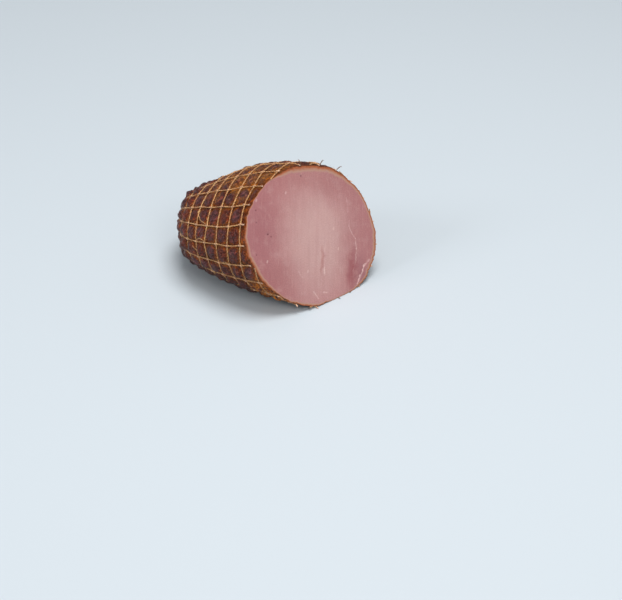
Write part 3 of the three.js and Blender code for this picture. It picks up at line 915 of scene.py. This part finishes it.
# painted shade in the valleys between the two plies, lighter on their crests
tone = finish.blend(finish.between(ply, -0.9, 0.5), paint(146, 92, 50), paint(214, 160, 102))
tone = finish.coat(tone, stain, 0.6, (176, 108, 54))
tone = finish.coat(tone, finish.between(fuzz, 0.5, 0.8), 0.35, (238, 198, 146))
tone = finish.blend(0.45, tone, worn, "OVERLAY")
for weight, colour in [(0.9, (236, 196, 172)), (-1.0, (92, 62, 44))]:  # pale tips, and dark ones
    tone = finish.blend(finish.math("MULTIPLY", tip, weight, clamp=True), tone, paint(*colour))
dress(finish, shader, tone, fuzz, 0.4, 0.0003)

# %% Yarn laid along a path
YARN_RADIUS = 0.39
YARN_UNEVENNESS = 0.28
WANDER_SIZE = 3.5
WANDER = 0.16
WANDER_SEED = 5
YARN_SIDES = 10
YARN_STEP = 0.5
FEWEST_STEPS = 4
PLY_DEPTH = 0.2
PLY_TURN = 1.5  # radians for each millimetre
KNOT_SWELL = 0.5
KNOT_REACH = 0.95
END_TAPER = 0.5
OVER_FLOOR = 0.03
noise.seed_set(WANDER_SEED)  # noise vectors follow the clock unless they are seeded


def resample(path, *others):
    """The path and whatever goes with it, at equal steps along it."""
    length = travelled(path)
    count = max(FEWEST_STEPS, int(np.ceil(length[-1] / YARN_STEP)) + 1)
    wanted = np.linspace(0, length[-1], count)
    result = []
    for values in (path, *others):
        columns = [np.interp(wanted, length, column) for column in values.reshape(len(path), -1).T]
        result.append(np.stack(columns, axis=1).reshape(count, *values.shape[1:]))
    return result


def lay_yarn(work, path, out, radius, tip=0.0, sides=YARN_SIDES, lobes=PLY_DEPTH):
    """Wraps a grid round a path in mm; out is the side that faces off the meat."""
    length = travelled(path)
    from_end = np.minimum(length, length[-1] - length)
    taper = np.sqrt(np.clip(1 - (1 - np.clip(from_end / END_TAPER, 0, 1)) ** 2, 0, 1))
    tangent = unit(np.gradient(path, axis=0))
    side = unit(np.cross(tangent, out))
    up = np.cross(side, tangent)
    around = np.linspace(0, 2 * np.pi, sides + 1)
    ply = np.cos(2 * (around[None, :] - PLY_TURN * length[:, None]))
    swell = (radius * taper)[:, None] * (1 + lobes * ply)
    turn = around[None, :, None]
    arm = np.cos(turn) * up[:, None, :] + np.sin(turn) * side[:, None, :]
    table = path[:, None, :] + swell[..., None] * arm
    table[..., 2] = np.maximum(table[..., 2], OVER_FLOOR)
    layers = work.verts.layers.float
    tips = np.broadcast_to(np.reshape(tip, (-1, 1)), ply.shape)
    wrap_sheet(work, table, {layers["ply"]: ply, layers["tip"]: tips})


def unsteady(path, radius):
    """The path with a slight wander, and the radius with thicker and thinner stretches."""
    wander = np.array([tuple(noise.noise_vector(Vector(point) / WANDER_SIZE)) for point in path])
    return path + WANDER * wander, radius * (1 + YARN_UNEVENNESS * wander[:, 0])


def cut_end(path, out, end):
    """Place, direction and outside of a yarn's first end, 0, or its last, -1."""
    return path[end], unit(path[end] - path[2 if end == 0 else -3]), out[end]


def new_yarn_work():
    work = bmesh.new()
    work.verts.layers.float.new("ply")
    work.verts.layers.float.new("tip")
    return work


def finish_net_piece(work, name):
    finish_piece(work, name, "net", [net_yarn])


print("yarn, mm across:", 2 * YARN_RADIUS)

# %% [markdown]
# The strands run along the log. Each starts a little past the rim, where the knife went through
# it, rises over every ring, and ends in the gathered tail. Its path is read from the same map as
# the meat, so it lies in its groove.

# %% Strands along the log
STRAND_OVER = 0.3  # a strand rides this much higher where it crosses a ring
RING_UNDER = 0.15
LAID_HEIGHT = 0.08
STRAND_TAIL = 0.4  # how far before the tip a strand ends
LONGEST_END = 2.0
LONGEST_END_STEPS = 12
SPLAY_LENGTH = 2.5  # over this length a cut end lifts off the meat
FLARE_LENGTH = 1.2  # and over this one it is thicker
END_FLARE = 0.25
KNOT_PALENESS = 0.35
END_LENGTH = 0.4  # usual length past the rim; below 0 the strand stops short of it
END_SPLAY = 0.15
STRAND_ENDS = {  # strand: length past the rim, splay off the meat
    1: (-0.9, 0.1),
    2: (-0.9, 0.3),
    3: (-0.8, 0.6),
    4: (-0.9, 0.6),
    5: (-1.2, 0.5),
    6: (-0.5, 0.4),
    7: (1.6, 0.9),
    8: (1.4, 0.6),
    9: (1.5, 0.7),
    19: (-0.6, 0.6),
}
SLACK_RADIUS = 0.24
SLACK_LIFT = 0.25
SLACK_THREADS = [  # ring and strand numbers along stitches that hang loose
    [(4.0, 1.0), (4.12, 1.35), (3.6, 1.75), (3.2, 1.9), (3.0, 2.0)],
    [(4.0, 3.0), (3.8, 2.85), (3.4, 2.75), (3.1, 2.9), (3.0, 3.0)],
    [(2.0, 4.0), (1.7, 4.0), (1.35, 3.85), (1.1, 3.95), (1.0, 4.0)],
    [(4.6, 2.95), (4.25, 3.3), (4.0, 3.6), (4.0, 4.0)],
]


def near_crossing(number, pitch):
    """1 at a whole number, falling to 0 a knot's reach away; pitch is in mm."""
    away = np.abs(number - np.round(number)) * pitch
    return np.exp(-((away / KNOT_REACH) ** 2))


strand_work = new_yarn_work()
strand_tips = []
last_rings = ring_number_at(TAIL_LENGTH - STRAND_TAIL) - PROBE
for strand, rim in enumerate(rim_ring(np.arange(STRANDS, dtype=float), skin)):
    start_y = ring_position(rim)
    rings = ring_number_at(start_y + (TAIL_LENGTH - STRAND_TAIL - start_y) * TOWARDS_TIP)
    past, splay = STRAND_ENDS.get(strand, (END_LENGTH, END_SPLAY))
    step_length = np.linalg.norm(skin(rim, strand) - skin(rim - 0.1, strand)) / 0.1
    before = np.linspace(rim - LONGEST_END / step_length, rim, LONGEST_END_STEPS)[:-1]
    rings = np.concatenate([before, rings])
    rings = rings[(rim - rings) * step_length <= past]
    strands = np.full(len(rings), float(strand))
    base = skin(rings, strands)
    out = outward(np.minimum(rings, last_rings), strands)
    crossing = near_crossing(rings, RING_PITCH) * (rings > rim + 0.1) * (rings < LAST_RING + 0.5)
    to_end = (rings - rings[0]) * step_length
    near_end = np.clip(1 - to_end / SPLAY_LENGTH, 0, 1)
    lift = LAID_HEIGHT + STRAND_OVER * crossing + splay * near_end**1.5
    path = base + out * lift[:, None]
    flare = END_FLARE * np.clip(1 - to_end / FLARE_LENGTH, 0, 1)
    radius = YARN_RADIUS * (1 + KNOT_SWELL * crossing + flare)
    path, out, radius, near_end, crossing = resample(path, out, radius, near_end, crossing)
    path, radius = unsteady(path, radius)
    lay_yarn(strand_work, path, out, radius, np.maximum(near_end, KNOT_PALENESS * crossing))
    strand_tips.append(cut_end(path, out, 0))
for slack in SLACK_THREADS:
    rings, strands = np.array(slack).T
    share = np.linspace(0, 1, 3 * len(slack))
    knots = np.linspace(0, 1, len(slack))
    rings, strands = np.interp(share, knots, rings), np.interp(share, knots, strands)
    out = outward(rings, strands)
    lift = SLACK_LIFT + cushion_lift(rings, strands) * np.sin(np.pi * share)
    path, out = resample(skin(rings, strands) + out * lift[:, None], out)
    path, radius = unsteady(path, SLACK_RADIUS)
    lay_yarn(strand_work, path, out, radius)
finish_net_piece(strand_work, "net_strands")

# %% [markdown]
# The rings run round the log. Those behind the cut are whole, and those that the slanted cut
# meets are arcs with two cut ends. Each ring is sampled all the way round, turned so that it
# starts at its cut, and laid piece by piece.

# %% Rings round the log
RING_SAMPLES = 2400
RING_OVERLAP = 12  # samples by which a whole ring runs past its start
RING_END = 0.8
RING_SEED_FOR_ENDS = 40
SHORTEST_ARC = 6.0
STRAND_PITCH = 14.0
KNOTS_BEHIND_CUT = 2
ring_work = new_yarn_work()
ring_tips = []
arcs = 0
around_log = np.linspace(0, STRANDS, RING_SAMPLES + 1)[:-1]
for ring in range(FRONT_RING, LAST_RING + 1):
    base = skin(np.full(RING_SAMPLES, float(ring)), around_log)
    kept = behind_cut(base) > -RING_END * vary(ring + RING_SEED_FOR_ENDS)
    if not kept.any():
        continue
    whole = kept.all()
    samples = np.arange(RING_SAMPLES)
    order = np.append(samples, samples[:RING_OVERLAP]) if whole else np.roll(samples, -np.argmin(kept))
    for run in np.split(order, np.flatnonzero(np.diff(kept[order].astype(int))) + 1):
        path, strands = base[run], around_log[run]
        if not kept[run[0]] or travelled(path)[-1] < SHORTEST_ARC:
            continue
        out = outward(np.full(len(run), float(ring)), strands)
        crossing = near_crossing(strands, STRAND_PITCH) * (behind_cut(path) > KNOTS_BEHIND_CUT)
        path = path + out * (LAID_HEIGHT - RING_UNDER * crossing)[:, None]
        radius = YARN_RADIUS * (1 + 0.5 * KNOT_SWELL * crossing)
        path, out, radius = resample(path, out, radius)
        path, radius = unsteady(path, radius)
        lay_yarn(ring_work, path, out, radius)
        arcs += 1
        if not whole:
            ring_tips += [cut_end(path, out, 0), cut_end(path, out, -1)]
print("ring runs:", arcs, "cut ends:", len(ring_tips))
finish_net_piece(ring_work, "net_rings")

# %% [markdown]
# Where the knife cut the yarn, its fibres spring apart into small brushes. Each fibre is a short
# thin tube that leaves the cut end in the thread's direction and bends away by a random amount.
# The random draws are seeded, so that every run gives the same brushes.

# %% Frayed ends
FIBRES_PER_STRAND = 4
FIBRES_PER_RING = 5
FIBRE_RADIUS = 0.1
FIBRE_SIDES = 5
FIBRE_POINTS = 7
FRAY = 0.3  # how widely the fibres of a cut end spread
FRAY_LENGTHS = (0.5, 1.1)
FRAY_PALENESS = 0.8
WIRY_LEAN = {16: 1.2, 17: 0.5, 18: 0.0}  # strands whose last fibres stand up from the rim
WIRY_LENGTH = 3.2
fibre_draws = np.random.default_rng(11)


def lay_fibre(work, start, direction, bend, length, radius, tip):
    """A fibre that bends as it goes; tip above 0 makes it pale, and below 0 dark."""
    share = np.linspace(0, 1, FIBRE_POINTS)[:, None]
    path = start + direction * share * length + bend * share**2
    out = np.broadcast_to(unit(np.cross(direction, bend + 0.01) + 1e-6), path.shape)
    lay_yarn(work, path, out, radius * np.linspace(1, 0.6, FIBRE_POINTS), tip, FIBRE_SIDES, 0.0)


end_work = new_yarn_work()
for tips, fibre_count in ((strand_tips, FIBRES_PER_STRAND), (ring_tips, FIBRES_PER_RING)):
    for start, direction, out in tips:
        hidden_side = start[0] > 0
        for _ in range(1 if hidden_side else fibre_count):
            spread = fibre_draws.normal(0, FRAY, 3)
            bend = fibre_draws.normal(0, FRAY, 3) + out * 0.1
            length = fibre_draws.uniform(*FRAY_LENGTHS)
            root = start - direction * 0.5 + spread * 0.4
            way = unit(direction + spread)
            lay_fibre(end_work, root, way, bend, length, FIBRE_RADIUS, FRAY_PALENESS)
for strand, lean_along in WIRY_LEAN.items():
    start, direction, out = strand_tips[strand]
    length = WIRY_LENGTH * (0.8 + 0.4 * vary(strand))
    lean = fibre_draws.normal(0, 0.25, 3) + direction * lean_along
    way = unit(out + lean * 0.4)
    for side in (-0.15, 0.15):  # two stems side by side
        bend = lean + direction * side
        lay_fibre(end_work, start + direction * side, way, bend, length, 0.2, -0.8)
    top = start + way * length * 0.85 + lean
    for side in (-1, 1):  # and a fork on top
        fork = unit(direction * side + out * 0.8 + lean)
        lay_fibre(end_work, top, fork, lean * 0.4, 0.9, 0.14, -0.6)
finish_net_piece(end_work, "net_ends")

# %% Loose fuzz on the net
FUZZ_HAIRS = 420
FUZZ_RADIUS = 0.055
FUZZ_LENGTHS = (0.7, 1.9)
FUZZ_BEHIND_CUT = 1.5
FUZZ_LOWEST = 4  # none where the loin lies on the table
FUZZ_LIFT = 0.35
fuzz_work = new_yarn_work()
placed = 0
while placed < FUZZ_HAIRS:
    on_ring = fibre_draws.random() < 0.5
    ring = fibre_draws.uniform(-5, LAST_RING + 0.3)
    strand = fibre_draws.uniform(0, STRANDS)
    ring, strand = (round(ring), strand) if on_ring else (ring, float(round(strand)))
    base = skin(ring, strand)
    if behind_cut(base) < FUZZ_BEHIND_CUT or base[2] < FUZZ_LOWEST:
        continue
    out = outward(ring, strand)
    way = unit(out * 0.6 + fibre_draws.normal(0, 0.6, 3))
    bend = fibre_draws.normal(0, 0.6, 3)
    length = fibre_draws.uniform(*FUZZ_LENGTHS)
    lay_fibre(fuzz_work, base + out * FUZZ_LIFT, way, bend, length, FUZZ_RADIUS, 0.2)
    placed += 1
finish_net_piece(fuzz_work, "net_fuzz")

# %% [markdown]
# At the tail the net is drawn together and bound. The photograph doesn't show that end, so it is
# made the common way: the strands run together, a length of the same yarn is wound over them in a
# flat coil, and the cut tips of the strands stand out of its middle as a small tuft.

# %% Gathered end at the tail
COIL_OUTER = 5.4
COIL_INNER = 1.3
COIL_TURNS = 3.6
COIL_BASE = 0.35
COIL_RISE = 1.25
COIL_YARN = 0.68
COIL_SAMPLES = 400
TUFT_FIBRES = 26
TUFT_SPREAD = 0.45
TUFT_LENGTH = 1.8
TUFT_RADIUS = 0.16
coil_work = new_yarn_work()
share = np.linspace(0, 1, COIL_SAMPLES)
coil_radius = COIL_OUTER + (COIL_INNER - COIL_OUTER) * share
coil_angle = 2 * np.pi * COIL_TURNS * share
coil_x, coil_z = coil_radius * np.cos(coil_angle), coil_radius * np.sin(coil_angle)
coil = np.stack([coil_x, COIL_BASE + COIL_RISE * share, coil_z], axis=1)
tail_tip = np.array([0.0, TAIL_LENGTH, TAIL_TIP_HEIGHT - SAG])
path, out = resample(coil + tail_tip, np.broadcast_to([0.0, 1.0, 0.0], coil.shape))
lay_yarn(coil_work, path, out, COIL_YARN)
for _ in range(TUFT_FIBRES):
    spread = fibre_draws.normal(0, TUFT_SPREAD, 3)
    root = tail_tip + np.array([spread[0] * 1.2, 0.6, spread[2] * 1.2])
    way = unit(np.array([spread[0], 1.0, spread[2]]))
    lay_fibre(coil_work, root, way, spread, TUFT_LENGTH, TUFT_RADIUS, 0.3)
finish_net_piece(coil_work, "net_gather")

# %% [markdown]
# The loin lies on a plain pale floor under soft studio light. The camera stands where the
# photograph was taken from, found by matching the net's crossings and the rim of the cut, so the
# render can be laid over it. A wide overhead light gives the soft sheen on the skin.

# %% Floor
FLOOR_REACH = 6.0
floor_work = bmesh.new()
bmesh.ops.create_grid(floor_work, x_segments=1, y_segments=1, size=FLOOR_REACH)
floor_mesh = bpy.data.meshes.new("floor")
floor_work.to_mesh(floor_mesh)
floor_work.free()
floor = put_in_scene("floor", floor_mesh)
pale_floor, _, _ = new_material(
    "pale floor",
    {"Base Color": paint(208, 216, 222), "Roughness": 0.7, "Specular IOR Level": 0.2},
)
floor_mesh.materials.append(pale_floor)

# %% Lights
AIM = Vector((0, 0, 0.03))


def turn_to(thing, sight):
    thing.rotation_euler = sight.to_track_quat("-Z", "Y").to_euler()


def soft_light(name, place, size, power, colour):
    lamp = bpy.data.lights.new(name, "AREA")
    lamp.shape = "DISK"
    lamp.size = size
    lamp.energy = power
    lamp.color = colour
    holder = put_in_scene(name, lamp)
    holder.location = place
    turn_to(holder, AIM - Vector(place))
    print(name, "stands at", place, "with", power, "W")


soft_light("overhead", (0.0, -0.2, 1.5), 0.9, 16, (1.0, 1.0, 1.0))
soft_light("front fill", (-0.75, -1.1, 1.2), 0.7, 6.5, (1.0, 0.99, 0.97))
soft_light("side light", (-1.35, 0.8, 0.95), 0.6, 6.5, (0.93, 0.97, 1.0))
world = bpy.data.worlds.new("studio")
world.use_nodes = True
sky = world.node_tree.nodes["Background"].inputs
sky["Color"].default_value = (0.93, 0.97, 1.0, 1.0)
sky["Strength"].default_value = 0.3
bpy.context.scene.world = world
bpy.context.scene.view_settings.view_transform = "Standard"

# %% Camera
CAMERA_AZIMUTH = np.radians(55.79)
CAMERA_ELEVATION = np.radians(32.61)
CAMERA_PLACE = Vector((-0.911115, -0.656586, 0.69515))
SENSOR_WIDTH = 36.0
FOCAL_LENGTH = 115.76
level = np.cos(CAMERA_ELEVATION)
ahead = (np.sin(CAMERA_AZIMUTH) * level, np.cos(CAMERA_AZIMUTH) * level)
camera_data = bpy.data.cameras.new("camera")
camera_data.sensor_width = SENSOR_WIDTH
camera_data.lens = FOCAL_LENGTH
camera = put_in_scene("camera", camera_data)
camera.location = CAMERA_PLACE
turn_to(camera, Vector((*ahead, -np.sin(CAMERA_ELEVATION))))
bpy.context.scene.camera = camera
print("camera to the loin's middle, m:", round((CAMERA_PLACE - AIM).length, 3))
